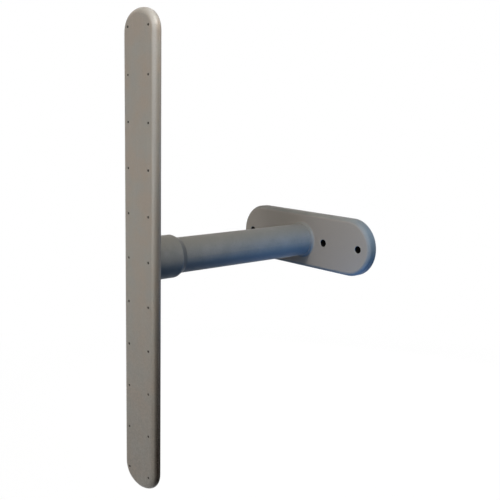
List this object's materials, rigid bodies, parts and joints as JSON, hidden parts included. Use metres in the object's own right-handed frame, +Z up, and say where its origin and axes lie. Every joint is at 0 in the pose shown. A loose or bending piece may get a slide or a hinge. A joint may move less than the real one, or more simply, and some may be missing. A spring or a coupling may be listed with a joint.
{
  "type": "security gate antenna panel on a wall arm",
  "caption": "Tall slim round-ended antenna panel that turns on a collar at the end of a tube arm, held by a round-ended wall plate with anchor holes.",
  "frame": {"origin": "centre of the wall plate's back face, midway between the two outer anchor holes and on the arm's axis", "axes": "+Z up along the upright panel; +Y into the wall; the arm and panel reach out along -Y; +X across the panel and along the plate"},
  "size_m": [0.426, 0.4975, 0.9998],
  "materials": {
    "painted_arm": "satin warm grey coating",
    "cover_shell": "satin warm grey-beige",
    "dark_screw": "black-oxide steel",
    "zinc_screw": "zinc-plated steel",
    "turned_alloy": "turned",
    "hub_steel": "zinc-plated sheet",
    "bush_rubber": "matt",
    "washer_plastic": "natural acetal",
    "clip_plastic": "natural nylon",
    "coil_winding": "enamelled copper winding, taped; brass stands in for copper",
    "board_laminate": "green solder mask",
    "capacitor_case": "dipped resin",
    "ferrite_core": "coated ferrite",
    "terminal_plastic": "moulded"
  },
  "bodies": {
    "arm": {"wall_plate": "painted_arm", "rear_bush": "bush_rubber", "rear_plug": "turned_alloy", "plug_screws": "zinc_screw", "arm_tube": "painted_arm", "front_plug": "turned_alloy", "thrust_washer": "washer_plastic", "friction_washer": "washer_plastic", "retaining_disc": "turned_alloy", "disc_screws": "zinc_screw", "front_bush": "bush_rubber"},
    "panel": {"arm_collar": "painted_arm", "collar_seal": "bush_rubber", "lock_screws": "dark_screw", "hub_plate": "hub_steel", "hub_screws": "zinc_screw", "rear_cover": "cover_shell", "cover_gasket": "bush_rubber", "front_cover": "cover_shell", "cover_screws": "dark_screw", "antenna_coil": "coil_winding", "coil_clips": "clip_plastic", "tuning_board": "board_laminate", "board_screws": "zinc_screw", "board_capacitors": "capacitor_case", "board_toroid": "ferrite_core", "terminal_block": "terminal_plastic"}
  },
  "joints": [
    {"name": "panel_turn", "type": "hinge", "parent": "arm", "child": "panel", "pos_m": [0, -0.4725, 0], "axis": [0, -1, 0], "range_deg": [-90, 90]}
  ]
}
